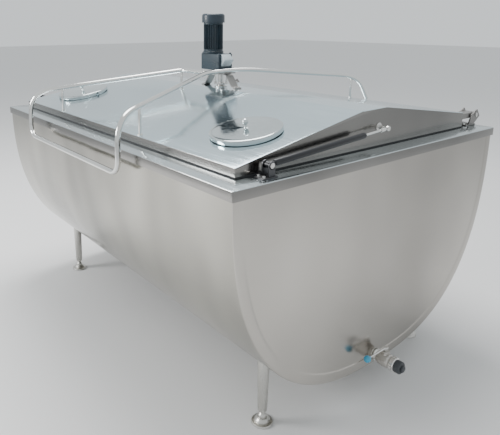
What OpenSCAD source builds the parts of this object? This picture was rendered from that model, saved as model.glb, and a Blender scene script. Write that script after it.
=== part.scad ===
// Bulk milk tank: an insulated stainless trough on four legs, a gabled lid hinged along
// its rear edge and held by two gas springs, a geared agitator on the ridge of the lid,
// two lift-off inspection covers, a bent-tube handle frame and a ball valve at one end.
// X runs along the tank towards the outlet, -Y is the operator's side, +Z is up, and the
// origin is on the floor under the middle of the whole assembly.

/* [Tank] */
// Length over the rim
tank_l = 1880; // [1700:10:2200]
// Width over the rim
tank_w = 1500; // [1400:10:1600]
// Height of the rim above the floor
rim_z = 978; // [960:1:1020]
// Depth of the outer trough below the rim
trough_d = 843; // [830:1:850]
// Roundness of the trough: 2 is an ellipse, larger is squarer
trough_n = 2.53; // [2.3:0.01:2.8]
// Height of the rim's outer skirt
rim_skirt = 34; // [30:1:40]
// Distance from the rim's edge to the milk space
wall_w = 136; // [130:1:138]
// Foam under the milk space
floor_foam = 60; // [58:1:70]

/* [Lid] */
// Distance from the rim's front edge to the lid
lid_front_in = 78; // [70:1:85]
// Distance from the rim's rear edge to the lid
lid_rear_in = 122; // [115:1:125]
// Distance from the rim's ends to the lid
lid_end_in = 82; // [75:1:88]
// Height of the lid's front edge above the rim
lid_front_h = 35; // [32:1:40]
// Height of the lid's rear edge above the rim
lid_rear_h = 66; // [60:1:70]
// Height of the ridge above the rim
ridge_h = 144; // [140:1:150]
// Width of the flat ridge
ridge_w = 140; // [130:1:150]
// Diameter of the inspection covers
cover_d = 258; // [240:1:270]

/* [Handle frame] */
// Diameter of the handle tube
rail_d = 20; // [16:1:24]
// Width of the front bar
rail_w = 860; // [820:10:900]
// Reach of the front bar beyond the rim
rail_reach = 45; // [40:1:55]

/* [Drive] */
// Diameter of the motor body
motor_d = 94; // [86:1:100]
// Diameter of the agitator shaft
shaft_d = 25; // [24:1:28]
// Depth of the paddles below the rim
paddle_z = 640; // [560:10:660]
// Radius swept by the paddles
paddle_r = 200; // [150:10:220]

/* [Legs and outlet] */
// Diameter of a leg at its top
leg_d = 48; // [44:1:52]
// Diameter of a leg at its foot
leg_foot_d = 36; // [34:1:40]
// Diameter of a foot pad
pad_d = 80; // [70:1:90]
// Outside diameter of the outlet pipe
pipe_d = 38; // [34:1:38]
// Length of the valve lever
lever_l = 112; // [100:1:125]

/* [Hidden] */
$fn = 64;

// Sheet and edge sizes
sheet = 3;
thin = 2;
rim_lip = 4;
rim_over = 7;
gap = 0.3;
run_fit = 0.08;
outline_steps = 64;

// Half sizes of the trough
half_l = tank_l / 2;
half_w = tank_w / 2;
shell_a = half_w - rim_over;
shell_x = half_l - rim_over;
milk_a = half_w - wall_w;
milk_x = half_l - wall_w;
milk_d = trough_d - floor_foam;

// Lid section, in Y and Z from the middle of the rim
lid_x = half_l - lid_end_in;
lid_y0 = -half_w + lid_front_in;
lid_y1 = half_w - lid_rear_in;
lid_z0 = 6;
ridge_mid = -10;
ridge_y0 = ridge_mid - ridge_w / 2;
ridge_y1 = ridge_mid + ridge_w / 2;
front_rise = (ridge_h - lid_front_h) / (ridge_y0 - lid_y0);
front_tilt = atan(front_rise);
rear_fall = (ridge_h - lid_rear_h) / (lid_y1 - ridge_y1);
shaft_hole_r = 24;

// Inspection covers, on the front slope
cover_x = 652;
cover_y = -446;
cover_z = lid_front_h + front_rise * (cover_y - lid_y0);
collar_r = cover_d / 2 - 7;
collar_h = 14;
seat_h = 3;
cover_rim = 14;

// Lid hinge line
hinge_y = half_w - 2;
hinge_z = 44;
hinge_x = lid_x - 34;
hinge_pin_d = 12;
hinge_w = 64;

// Gas springs, at the two ends of the lid
spring_x = lid_x + 38;
spring_y0 = -575;
spring_z0 = 38;
spring_y1 = 15;
spring_z1 = 76;
spring_tilt = atan((spring_z1 - spring_z0) / (spring_y1 - spring_y0));
spring_len = norm([spring_y1 - spring_y0, spring_z1 - spring_z0]);
spring_barrel_d = 21;
spring_barrel_l = 440;
spring_rod_d = 10;
spring_eye_d = 20;
spring_pin_d = 8;

// Drive, on the ridge: the output shaft is at drive_x, and the motor stands beside it
drive_x = -15;
drive_y = -20;
stool_z = 214;
stool_half = 112;
stool_top = 50;
stool_bar = 40;
gear_h = 97;
motor_z = stool_z + gear_h;
motor_h = 135;
cowl_h = 42;
top_z = motor_z + motor_h + cowl_h;

pinion_r = 8;
wheel_r = 22;
lay_r = 5;
stage = pinion_r + wheel_r + gap;
motor_x = drive_x - 2 * stage;

// Outlet
pipe_z = -(trough_d - 28);
sump_x = 760;
valve_x = half_l + 33;
valve_r = 27;
ball_r = 21;
bore_r = 15;
union_x = half_l + 62;
cap_x = half_l + 88;
cap_l = 26;
lever_z = pipe_z + 50;
knob_r = 13.5;

// Legs and feet
leg_x = 787;
leg_y = 466;
leg_end = 62;
stud_r = 10;
foot_travel = 30;

// Refrigerant stubs
stub_x = half_l + 60;
stub_y = 60;
stub_z = -560;

// The frame's origin is on the floor, under the middle of the bounding box
max_x = cap_x + cap_l;
min_x = -stub_x;
rail_y = -half_w - rail_reach;
min_y = rail_y - rail_d / 2;
max_y = hinge_y + 36;
shift = [-(max_x + min_x) / 2, -(max_y + min_y) / 2, rim_z];

module placed() translate(shift) children();

// Points of a trough outline of half width a and depth d, closed along the top at z = top
function power(v, e) = sign(v) * pow(abs(v), e);
function trough(a, d, top) = concat(
    [for (i = [0 : outline_steps])
        let (t = 180 * i / outline_steps)
        [a * power(cos(t), 2 / trough_n), min(top, -d * power(sin(t), 2 / trough_n))]]);

// A shape drawn in Y and Z and drawn out along X, from x0 to x1
module along_x(x0, x1) translate([x0, 0, 0]) rotate([90, 0, 90]) linear_extrude(height = x1 - x0) children();
module trough_solid(a, d, x0, x1, top = -rim_lip) along_x(x0, x1) polygon(trough(a, d, top));
module rod_x(r, x0, x1) translate([x0, 0, 0]) rotate([0, 90, 0]) cylinder(r = r, h = x1 - x0);
module box(lo, hi) translate(lo) cube([hi.x - lo.x, hi.y - lo.y, hi.z - lo.z]);
module both_ends() for (s = [-1, 1]) scale_end(s) children();
module scale_end(s) if (s > 0) children(); else mirror([1, 0, 0]) children();

// ---------------------------------------------------------------- tank
module outer_shell() color("silver") placed() difference() {
    trough_solid(shell_a, trough_d, -shell_x + sheet, shell_x - sheet);
    trough_solid(shell_a - sheet, trough_d - sheet, -shell_x, shell_x, 1);
}

module end_plate_outlet() color("darkgray") placed() difference() {
    trough_solid(shell_a, trough_d, shell_x - sheet, shell_x);
    translate([0, 0, pipe_z]) rod_x(pipe_d / 2, 0, half_l + 1);
}

module end_plate_far() color("darkgray") placed() difference() {
    trough_solid(shell_a, trough_d, -shell_x, -shell_x + sheet);
    for (p = stub_list) translate([0, p.x, stub_z]) rod_x(p.y + stub_collar, -half_l - 1, 0);
}

module rim_flange() color("gainsboro") placed() difference() {
    box([-half_l, -half_w, -rim_skirt], [half_l, half_w, 0]);
    box([-half_l + sheet, -half_w + sheet, -rim_skirt - 1], [half_l - sheet, half_w - sheet, -rim_lip]);
    box([-milk_x, -milk_a, -rim_skirt - 1], [milk_x, milk_a, 1]);
}

module inner_vessel() color("whitesmoke") placed() difference() {
    trough_solid(milk_a + thin, milk_d + thin, -milk_x - thin, milk_x + thin);
    trough_solid(milk_a, milk_d, -milk_x, milk_x, 1);
    translate([sump_x, 0, -milk_d - 20]) cylinder(r = pipe_d / 2 - thin, h = 60);
}

module insulation_jacket() color("khaki") placed() difference() {
    trough_solid(shell_a - sheet - gap, trough_d - sheet - gap, -shell_x + sheet + gap, shell_x - sheet - gap);
    trough_solid(milk_a + thin + gap, milk_d + thin + gap, -milk_x - thin - gap, milk_x + thin + gap, 1);
    intersection() {
        trough_solid(milk_a + thin + evap_t, milk_d + thin + evap_t, -evap_x, evap_x);
        box([-evap_x - 1, -half_w, -trough_d], [evap_x + 1, half_w, evap_z]);
    }
    translate([0, 0, pipe_z]) rod_x(pipe_d / 2, sump_x - pipe_d / 2, half_l);
    translate([sump_x, 0, pipe_z]) cylinder(r = pipe_d / 2, h = 60);
    for (p = stub_list) translate([0, p.x, stub_z]) rod_x(p.y + stub_collar, -half_l, -milk_x);
}

// The evaporator hugs the underside of the milk space
evap_t = 9;
evap_x = 640;
evap_z = -430;
module evaporator_band() intersection() {
    difference() {
        trough_solid(milk_a + thin + evap_t, milk_d + thin + evap_t, -evap_x, evap_x);
        trough_solid(milk_a + thin, milk_d + thin, -evap_x - 1, evap_x + 1, 1);
    }
    box([-evap_x, -half_w, -trough_d], [evap_x, half_w, evap_z]);
}
module evaporator_plate() color("lightsteelblue") placed() evaporator_band();

// Liquid and suction lines: offset in Y, and radius. Inside the end plate each has a thicker collar.
stub_list = [[-stub_y, 8], [stub_y, 14]];
stub_collar = 3;
module refrigerant_stubs() color("peru") placed() difference() {
    for (p = stub_list) translate([0, p.x, stub_z]) {
        rod_x(p.y, -stub_x, -milk_x - thin - gap);
        rod_x(p.y + stub_collar, -shell_x - stub_collar, -milk_x - thin - gap);
    }
    for (p = stub_list) translate([0, p.x, stub_z]) rod_x(p.y - 1.5, -stub_x - 1, -milk_x - thin - 6);
}

module outlet_run(r) {
    translate([0, 0, pipe_z]) rod_x(r, sump_x, half_l + 8);
    translate([sump_x, 0, pipe_z]) sphere(r = r);
    translate([sump_x, 0, pipe_z]) cylinder(r = r, h = -milk_d - thin - pipe_z);
}
module outlet_pipe() color("lightgray") placed() difference() {
    union() {
        outlet_run(pipe_d / 2);
        translate([0, 0, pipe_z]) rod_x(pipe_d / 2 + 5, half_l - rim_over, half_l - rim_over + 3);
    }
    translate([0, 0, pipe_z]) rod_x(pipe_d / 2 - thin, sump_x, half_l + 9);
    translate([sump_x, 0, pipe_z]) sphere(r = pipe_d / 2 - thin);
    translate([sump_x, 0, pipe_z]) cylinder(r = pipe_d / 2 - thin, h = 60);
}

// ---------------------------------------------------------------- legs and feet
module leg(sx, sy) color("silver") placed() difference() {
    translate([sx * leg_x, sy * leg_y, -rim_z + leg_end])
        cylinder(r1 = leg_foot_d / 2, r2 = leg_d / 2, h = 300);
    trough_solid(shell_a, trough_d, -shell_x, shell_x, 1);
    translate([sx * leg_x, sy * leg_y, -rim_z]) cylinder(r = stud_r + run_fit, h = leg_end + 75);
}
module foot(sx, sy) color("gainsboro") placed() translate([sx * leg_x, sy * leg_y, -rim_z]) {
    cylinder(r1 = pad_d / 2, r2 = pad_d / 2 - 3, h = 8);
    translate([0, 0, 8]) cylinder(r1 = pad_d / 2 - 8, r2 = 17, h = 14);
    translate([0, 0, 25]) sphere(r = 15);
    translate([0, 0, 25]) cylinder(r = stud_r, h = 105);
    translate([0, 0, leg_end - 14]) cylinder(r = 17, h = 13, $fn = 6);
}
module leg_front_outlet() leg(1, -1);
module leg_front_far() leg(-1, -1);
module leg_rear_outlet() leg(1, 1);
module leg_rear_far() leg(-1, 1);
module foot_front_outlet() foot(1, -1);
module foot_front_far() foot(-1, -1);
module foot_rear_outlet() foot(1, 1);
module foot_rear_far() foot(-1, 1);

// ---------------------------------------------------------------- lid hinges
ear_t = 6;
module ear_outline() polygon([[690, 5], [738, 5], [hinge_y + 36, 36], [hinge_y + 10, 68], [712, 50]]);
module hinge_bracket() difference() {
    union() {
        box([hinge_x - hinge_w / 2, 668, 0], [hinge_x + hinge_w / 2, half_w, 5]);
        for (s = [-1, 1]) along_x(hinge_x + s * (hinge_w / 2 - ear_t / 2) - ear_t / 2,
                                  hinge_x + s * (hinge_w / 2 - ear_t / 2) + ear_t / 2) ear_outline();
    }
    translate([0, hinge_y, hinge_z]) rod_x(hinge_pin_d / 2, hinge_x - 60, hinge_x + 60);
}
module hinge_brackets() color("dimgray") placed() both_ends() hinge_bracket();
module hinge_pins() color("gainsboro") placed() both_ends() translate([0, hinge_y, hinge_z]) {
    rod_x(hinge_pin_d / 2, hinge_x - hinge_w / 2 - 4, hinge_x + hinge_w / 2);
    rod_x(9, hinge_x + hinge_w / 2, hinge_x + hinge_w / 2 + 5);
}
module hex_bolt(r, h) {
    cylinder(r = r * 1.25, h = 1.2);
    translate([0, 0, 1.2]) cylinder(r = r, h = h, $fn = 6);
}
module hinge_bolts() color("gainsboro") placed() both_ends()
    for (dx = [-16, 16], dy = [678, 700]) translate([hinge_x + dx, dy, 5]) hex_bolt(7, 6);
module hinge_arm() difference() {
    union() {
        translate([0, hinge_y, hinge_z]) rod_x(13, hinge_x - 24, hinge_x + 24);
        box([hinge_x - 24, lid_y1, hinge_z - 12], [hinge_x + 24, hinge_y, hinge_z + 12]);
    }
    translate([0, hinge_y, hinge_z]) rod_x(hinge_pin_d / 2 + run_fit, hinge_x - 60, hinge_x + 60);
}
module hinge_arms() color("dimgray") placed() both_ends() hinge_arm();

// ---------------------------------------------------------------- lid
module lid_section(t) polygon([[lid_y0 + t, lid_z0 - (t > 0 ? 1 : 0)], [lid_y0 + t, lid_front_h - t * 0.8],
    [ridge_y0, ridge_h - t], [ridge_y1, ridge_h - t],
    [lid_y1 - t, lid_rear_h - t * 0.8], [lid_y1 - t, lid_z0 - (t > 0 ? 1 : 0)]]);
module on_slope(s) translate([s * cover_x, cover_y, cover_z]) rotate([front_tilt, 0, 0]) children();
module lid_holes(r) {
    for (s = [-1, 1]) on_slope(s) translate([0, 0, -170]) cylinder(r = r, h = 220);
    translate([drive_x, drive_y, -10]) cylinder(r = shaft_hole_r, h = 200);
}
module lid_skin() color("lightblue") placed() difference() {
    along_x(-lid_x, lid_x) lid_section(0);
    along_x(-lid_x + thin, lid_x - thin) lid_section(thin);
    lid_holes(collar_r);
}
module lid_liner() color("whitesmoke") placed() difference() {
    box([-lid_x + thin, lid_y0 + thin, lid_z0], [lid_x - thin, lid_y1 - thin, lid_z0 + thin]);
    lid_holes(collar_r);
}
module lid_insulation() color("khaki") placed() difference() {
    intersection() {
        along_x(-lid_x + thin, lid_x - thin) lid_section(thin);
        box([-lid_x, -half_w, lid_z0 + thin], [lid_x, half_w, ridge_h]);
    }
    lid_holes(collar_r);
}
module lid_gasket() color("black") placed() difference() {
    box([-lid_x + 1, lid_y0 + 1, gap], [lid_x - 1, lid_y1 - 1, lid_z0]);
    box([-milk_x - 3, -milk_a - 3, -1], [milk_x + 3, milk_a + 3, lid_z0 + 1]);
}
module manhole_collars() color("gainsboro") placed() intersection() {
    for (s = [-1, 1]) on_slope(s) difference() {
        translate([0, 0, -170]) cylinder(r = collar_r, h = 170 + collar_h);
        translate([0, 0, -171]) cylinder(r = collar_r - thin, h = 180 + collar_h);
    }
    box([-half_l, -half_w, lid_z0], [half_l, half_w, 300]);
}

// ---------------------------------------------------------------- inspection covers
module cover(s) color("gainsboro") placed() on_slope(s) {
    translate([0, 0, collar_h + gap + seat_h]) cylinder(r = cover_d / 2, h = 1.5);
    difference() {
        translate([0, 0, collar_h + seat_h + gap - cover_rim]) cylinder(r = cover_d / 2, h = cover_rim);
        translate([0, 0, 0]) cylinder(r = cover_d / 2 - 2, h = 60);
    }
    translate([0, 0, collar_h + gap + seat_h]) cylinder(r = 4, h = 18);
    translate([0, 0, collar_h + gap + seat_h + 24]) sphere(r = 11);
}
module cover_gasket(s) color("white") placed() on_slope(s) translate([0, 0, collar_h + gap]) difference() {
    cylinder(r = collar_r + 2, h = seat_h);
    translate([0, 0, -1]) cylinder(r = collar_r - 5, h = seat_h + 2);
}
module cover_outlet() cover(1);
module cover_far() cover(-1);
module cover_gasket_outlet() cover_gasket(1);
module cover_gasket_far() cover_gasket(-1);

// ---------------------------------------------------------------- handle frame
// The two arms close in towards the drive. The right one goes on to the rear edge, and the
// left one turns there and ends on the right one. Each corner has the radius of its bend.
rail_x = -60;
function side(s, out, y, z) = [rail_x + s * out, y, z];
knee_out = 90;
knee_y = -150;
knee_z = 220;
bar_z = -76;
rail_corners = [
    [side(-1, knee_out - 40, knee_y, knee_z), 0],
    [side(-1, knee_out, knee_y, knee_z), 30],
    [side(-1, rail_w / 2 - 5, -790, 128), 110],
    [side(-1, rail_w / 2, rail_y, bar_z), 60],
    [side(1, rail_w / 2, rail_y, bar_z), 60],
    [side(1, rail_w / 2 - 5, -790, 128), 110],
    [side(1, knee_out, knee_y, knee_z), 60],
    [side(1, 125, 45, 230), 90],
    [side(1, 400, 570, 186), 90],
    [side(1, 422, lid_y1 - 6, lid_top(lid_y1 - 6) + 5.2), 0]
];
bend_steps = 7;
// A bend is a quadratic curve that starts and ends one radius' worth away from the corner
function unit(v) = v / norm(v);
function bend(a, c, b, r) =
    let (da = min(r, norm(a - c) / 2.1), db = min(r, norm(b - c) / 2.1),
         p = c + unit(a - c) * da, q = c + unit(b - c) * db)
    [for (i = [0 : bend_steps])
        let (u = i / bend_steps)
        p * (1 - u) * (1 - u) + c * 2 * u * (1 - u) + q * u * u];
rail_route = [for (i = [0 : len(rail_corners) - 1])
    each (i == 0 || i == len(rail_corners) - 1)
        ? [rail_corners[i][0]]
        : bend(rail_corners[i - 1][0], rail_corners[i][0], rail_corners[i + 1][0], rail_corners[i][1])];
// A round tube swept along a route, with one ring of corners at each of its points
tube_sides = 12;
function ring(p, along, r) =
    let (u = unit(cross(along, [1, -0.6, 1])), v = cross(along, u))
    [for (k = [0 : tube_sides - 1]) p + r * (cos(360 * k / tube_sides) * u + sin(360 * k / tube_sides) * v)];
module swept_tube(route, r) {
    n = len(route);
    way = [for (i = [0 : n - 1]) unit(route[min(i + 1, n - 1)] - route[max(i - 1, 0)])];
    rings = [for (i = [0 : n - 1]) each ring(route[i], way[i], r)];
    sides = [for (i = [0 : n - 2], k = [0 : tube_sides - 1])
        let (a = i * tube_sides + k, b = i * tube_sides + (k + 1) % tube_sides)
        [a, a + tube_sides, b + tube_sides, b]];
    caps = [[for (k = [0 : tube_sides - 1]) k], [for (k = [tube_sides - 1 : -1 : 0]) (n - 1) * tube_sides + k]];
    polyhedron(points = rings, faces = concat(sides, caps));
}
module handle_rail() color("gainsboro") placed() {
    swept_tube(rail_route, rail_d / 2);
    translate([0, knee_y, knee_z]) rod_x(rail_d / 2 - 1.5, rail_x - knee_out + 25, rail_x + knee_out);
}

// Height of the lid's top surface at y
function lid_top(y) = y < ridge_y0 ? lid_front_h + front_rise * (y - lid_y0)
    : y < ridge_y1 ? ridge_h
    : ridge_h - rear_fall * (y - ridge_y1);
post_d = 12;
// Places of the posts, each with the height of the tube above it and the room that its slope takes
post_list = [
    [side(-1, rail_w / 2 - 73, -660, 146), 1.5], [side(1, rail_w / 2 - 73, -660, 146), 1.5],
    [side(-1, 90, -158, 219), 1.8], [side(1, 383, 540, 182), 3.2]
];
function lid_slope(y) = y < ridge_y0 ? front_tilt : y < ridge_y1 ? 0 : -atan(rear_fall);
module rail_posts() color("silver") placed() for (e = post_list) {
    p = e[0];
    foot_z = lid_top(p.y);
    translate([p.x, p.y, foot_z]) rotate([lid_slope(p.y), 0, 0]) cylinder(r = 11, h = 3.5);
    translate([p.x, p.y, foot_z + 1.8]) cylinder(r = post_d / 2, h = p.z - rail_d / 2 - e[1] - foot_z - 1.8);
}

// ---------------------------------------------------------------- agitator drive
module drive_stool() color("darkgray") placed() translate([drive_x, drive_y, 0]) difference() {
    union() {
        box([-stool_top, -50, stool_z - 6], [stool_top, 50, stool_z]);
        for (s = [-1, 1]) scale_end(s) {
            along_y_strip([[stool_top - 6, stool_z - 6], [stool_top, stool_z - 6], [stool_top + 14, stool_z - 18],
                [stool_half - 6, ridge_h + 5], [stool_half + 16, ridge_h + 5], [stool_half + 16, ridge_h],
                [stool_half - 12, ridge_h], [stool_top + 8, stool_z - 20], [stool_top - 4, stool_z - 10]]);
        }
    }
    translate([0, 0, stool_z - 20]) cylinder(r = 30, h = 40);
}
module along_y_strip(points) translate([0, stool_bar / 2, 0]) rotate([90, 0, 0])
    linear_extrude(height = stool_bar) polygon(points);
module stool_screws() color("gainsboro") placed() for (sx = [-1, 1], sy = [-1, 1])
    translate([drive_x + sx * (stool_half + 6), drive_y + sy * 12, ridge_h + 5]) hex_bolt(5, 4);
module seal_housing() color("gray") placed() translate([drive_x, drive_y, 0]) difference() {
    union() {
        translate([0, 0, 120]) cylinder(r = shaft_hole_r, h = 31);
        translate([0, 0, ridge_h]) cylinder(r = 30, h = 4);
        translate([0, 0, ridge_h + 4]) cylinder(r1 = 18, r2 = 23, h = 8);
        translate([0, 0, ridge_h + 12]) cylinder(r = 33, h = 7);
    }
    translate([0, 0, 100]) cylinder(r = shaft_d / 2 + 4, h = 60);
    translate([0, 0, 140]) cylinder(r = shaft_d / 2 + run_fit, h = 60);
}
module shaft_seal() color("black") placed() translate([drive_x, drive_y, 122]) difference() {
    cylinder(r = shaft_d / 2 + 4, h = 14);
    translate([0, 0, -1]) cylinder(r = shaft_d / 2 + run_fit, h = 16);
}
module seal_studs() color("gainsboro") placed() for (a = [45 : 90 : 315])
    translate([drive_x + 27 * cos(a), drive_y + 27 * sin(a), ridge_h + 19]) {
        cylinder(r = 3, h = stool_z - ridge_h - 25);
        cylinder(r = 5.5, h = 5, $fn = 6);
    }
module gearbox_case() color("darkslategray") placed() translate([drive_x, drive_y, 0]) difference() {
    union() {
        translate([0, 0, stool_z]) cylinder(r = 42, h = 10);
        box([-104, -42, stool_z + 10], [35, 42, stool_z + gear_h - 10]);
        translate([-2 * stage, 0, stool_z + gear_h - 10]) cylinder(r = 50, h = 10);
    }
    box([-74, -30, stool_z + 18], [27, 30, stool_z + gear_h - 18]);
    translate([0, 0, stool_z - 1]) cylinder(r = 21, h = 30);
    translate([-2 * stage, 0, stool_z + gear_h - 20]) cylinder(r = pinion_r + run_fit, h = 30);
    translate([-stage, 0, stool_z + 12]) cylinder(r = lay_r + run_fit, h = 73);
}
module output_bearing() color("lightgray") placed() translate([drive_x, drive_y, stool_z + 1]) difference() {
    cylinder(r = 21, h = 14);
    translate([0, 0, -1]) cylinder(r = shaft_d / 2 + run_fit, h = 16);
}
module terminal_box() color("dimgray") placed() translate([drive_x, drive_y, 0]) {
    along_y_plate([[35, stool_z + 86], [35, stool_z + 28], [62, stool_z + 58], [58, stool_z + 64]], 56);
}
module along_y_plate(points, w) translate([0, w / 2, 0]) rotate([90, 0, 0]) linear_extrude(height = w) polygon(points);
fin_count = 28;
module motor_case() color("darkslategray") placed() translate([motor_x, drive_y, motor_z]) difference() {
    union() {
        cylinder(r = motor_d / 2 - 6, h = motor_h);
        cylinder(r = motor_d / 2, h = 9);
        translate([0, 0, motor_h - 9]) cylinder(r = motor_d / 2, h = 9);
        for (k = [0 : fin_count - 1]) rotate(360 * k / fin_count)
            translate([motor_d / 2 - 8, -1.2, 8]) cube([7.5, 2.4, motor_h - 16]);
    }
    translate([0, 0, 10]) cylinder(r = motor_d / 2 - 12, h = motor_h - 20);
    translate([0, 0, -1]) cylinder(r = pinion_r + run_fit, h = motor_h + 2);
}
module fan_cowl() color("black") placed() translate([motor_x, drive_y, motor_z + motor_h]) difference() {
    union() {
        cylinder(r = motor_d / 2 + 8, h = cowl_h - 8);
        translate([0, 0, cowl_h - 8]) cylinder(r1 = motor_d / 2 + 8, r2 = motor_d / 2, h = 8);
    }
    translate([0, 0, -1]) cylinder(r = motor_d / 2 + 5, h = cowl_h - 5);
    for (a = [0 : 45 : 315]) rotate(a) translate([14, -3, cowl_h - 10]) cube([24, 6, 20]);
}
rotor_r = motor_d / 2 - 14;
module motor_rotor() color("peru") placed() translate([motor_x, drive_y, motor_z]) {
    translate([0, 0, -40]) cylinder(r = pinion_r, h = motor_h + 60);
    translate([0, 0, 22]) cylinder(r = rotor_r, h = motor_h - 44);
    translate([0, 0, motor_h + 6]) cylinder(r = 14, h = 12);
    for (a = [0 : 60 : 300]) rotate(a) translate([12, -1.5, motor_h + 4]) cube([30, 3, 18]);
}
// Two gear stages: rotor pinion to countershaft wheel, countershaft pinion to output wheel.
// The wheels are plain discs of the pitch diameters, with a small gap at the mesh.
module gear_countershaft() color("peru") placed() translate([drive_x - stage, drive_y, stool_z]) {
    translate([0, 0, 13]) cylinder(r = lay_r, h = 71);
    translate([0, 0, 60]) cylinder(r = wheel_r, h = 9);
    translate([0, 0, 34]) cylinder(r = pinion_r, h = 16);
}
module agitator_shaft() color("lightgray") placed() translate([drive_x, drive_y, 0]) {
    translate([0, 0, -paddle_z - 30]) cylinder(r = shaft_d / 2, h = paddle_z + 30 + stool_z + 46);
    translate([0, 0, stool_z + 36]) cylinder(r = wheel_r, h = 10);
}
module paddles() color("gainsboro") placed() translate([drive_x, drive_y, -paddle_z]) difference() {
    union() {
        cylinder(r = 24, h = 70);
        for (a = [0, 180]) rotate(a) translate([15, 0, 35]) rotate([28, 0, 0])
            translate([0, -2.5, -45]) cube([paddle_r - 15, 5, 90]);
    }
    translate([0, 0, -60]) cylinder(r = shaft_d / 2, h = 200);
}

// ---------------------------------------------------------------- gas springs
// A spring lies along its own Z from the pin on the rim to the stud on the lid
module along_spring() translate([spring_x, spring_y0, spring_z0]) rotate([spring_tilt - 90, 0, 0]) children();
module spring_brackets() color("silver") placed() both_ends() difference() {
    union() {
        box([spring_x - 20, spring_y0 - 42, 0], [spring_x + 20, spring_y0 + 22, 4]);
        for (s = [-1, 1]) translate([spring_x + s * 14, 0, 0])
            box([-2.5, spring_y0 - 14, 4], [2.5, spring_y0 + 14, spring_z0 + 14]);
        translate([0, spring_y0, spring_z0]) rod_x(spring_pin_d / 2, spring_x - 19, spring_x + 19);
    }
}
module spring_bracket_bolts() color("gainsboro") placed() both_ends()
    for (dx = [-11, 11]) translate([spring_x + dx, spring_y0 - 30, 4]) hex_bolt(6, 6);
module spring_barrel() along_spring() difference() {
    union() {
        translate([0, 0, 24]) cylinder(r = spring_barrel_d / 2, h = spring_barrel_l);
        translate([0, 0, 8]) cylinder(r = 6, h = 20);
        rotate([0, 90, 0]) translate([0, 0, -8]) cylinder(r = spring_eye_d / 2, h = 16);
    }
    rotate([0, 90, 0]) translate([0, 0, -20]) cylinder(r = spring_pin_d / 2 + run_fit, h = 40);
    translate([0, 0, 30]) cylinder(r = spring_barrel_d / 2 - 3, h = spring_barrel_l - 14);
    translate([0, 0, 30]) cylinder(r = spring_rod_d / 2 + run_fit, h = spring_barrel_l + 20);
}
module spring_rod() along_spring() {
    translate([0, 0, 36]) cylinder(r = spring_rod_d / 2, h = spring_len - 36);
    translate([0, 0, 36]) cylinder(r = spring_barrel_d / 2 - 3 - 0.1, h = 12);
    translate([0, 0, spring_len - 40]) cylinder(r = 8, h = 28);
    rotate([0, 90, 0]) translate([-spring_len, 0, -7]) cylinder(r = spring_eye_d / 2, h = 14);
}
module gas_spring_outlet() color("black") placed() spring_barrel();
module gas_spring_far() color("black") placed() mirror([1, 0, 0]) spring_barrel();
module spring_rod_outlet() color("gainsboro") placed() spring_rod();
module spring_rod_far() color("gainsboro") placed() mirror([1, 0, 0]) spring_rod();
module spring_studs() color("gainsboro") placed() both_ends() translate([0, spring_y1, spring_z1]) {
    rod_x(16, lid_x, lid_x + 4);
    rod_x(7, lid_x + 4, spring_x - 7 - gap);
}

// ---------------------------------------------------------------- outlet valve
module on_valve() translate([valve_x, 0, pipe_z]) children();
module valve_body() color("gray") placed() difference() {
    translate([0, 0, pipe_z]) union() {
        rod_x(22, half_l + 2, union_x);
        rod_x(valve_r, valve_x - 22, valve_x + 22);
        translate([valve_x, 0, 0]) cylinder(r = 15, h = 37);
        translate([valve_x, 0, 28]) cylinder(r = 18, h = 6, $fn = 6);
        rod_x(24, union_x - 8, union_x + 6);
    }
    on_valve() sphere(r = ball_r + gap);
    on_valve() cylinder(r = 6 + run_fit, h = 80);
    on_valve() cylinder(r = 10, h = 33);
    translate([0, 0, pipe_z]) rod_x(bore_r, valve_x, cap_x + 20);
    translate([0, 0, pipe_z]) rod_x(bore_r, half_l - 2, valve_x);
    translate([0, 0, pipe_z]) rod_x(pipe_d / 2, half_l - 10, half_l + 8);
    translate([0, 0, pipe_z]) rod_x(ball_r + gap, valve_x - 18, valve_x + 18);
}
module valve_seats() color("white") placed() on_valve() for (s = [-90, 90]) rotate([0, s, 0])
    rotate_extrude() difference() {
        translate([bore_r, 12]) square([ball_r + gap - bore_r, 6]);
        circle(r = ball_r + gap);
    }
module valve_ball() color("gainsboro") placed() on_valve() rotate([90, 0, 0]) rotate_extrude() difference() {
    circle(r = ball_r);
    translate([bore_r - 2 * ball_r, -ball_r]) square(2 * ball_r);
}
module valve_lever() color("gainsboro") placed() on_valve() {
    translate([0, 0, ball_r]) cylinder(r = 6, h = lever_z - pipe_z - ball_r);
    translate([0, 0, lever_z - pipe_z - 12]) cylinder(r = 9, h = 16);
    translate([0, 0, lever_z - pipe_z]) rotate([90, 0, 0]) cylinder(r = 3.5, h = lever_l);
}
module lever_knob() color("deepskyblue") placed() on_valve() difference() {
    translate([0, -lever_l - 4, lever_z - pipe_z]) sphere(r = knob_r);
    translate([0, 0, lever_z - pipe_z]) rotate([90, 0, 0]) cylinder(r = 3.5, h = lever_l);
}
module union_nut() color("silver") placed() translate([0, 0, pipe_z]) difference() {
    union() {
        rod_x(29, union_x + 2, cap_x - 8);
        for (a = [0 : 90 : 270]) rotate([a, 0, 0]) translate([union_x + 6, -5, 26]) cube([12, 10, 6]);
    }
    rod_x(24, union_x - 10, union_x + 6);
    rod_x(bore_r + 4, union_x - 10, cap_x + 20);
}
module blank_cap() color("dimgray") placed() translate([0, 0, pipe_z]) {
    translate([cap_x - 8 + gap, 0, 0]) rotate([0, 90, 0]) cylinder(r = 24, h = 18 + 8 - gap);
    translate([cap_x - 19, 0, 0]) rotate([0, 90, 0]) cylinder(r = bore_r + 4 - gap, h = 20);
    translate([cap_x + 18, 0, 0]) rotate([0, 90, 0]) cylinder(r = 14, h = cap_l - 18, $fn = 6);
}

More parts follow.
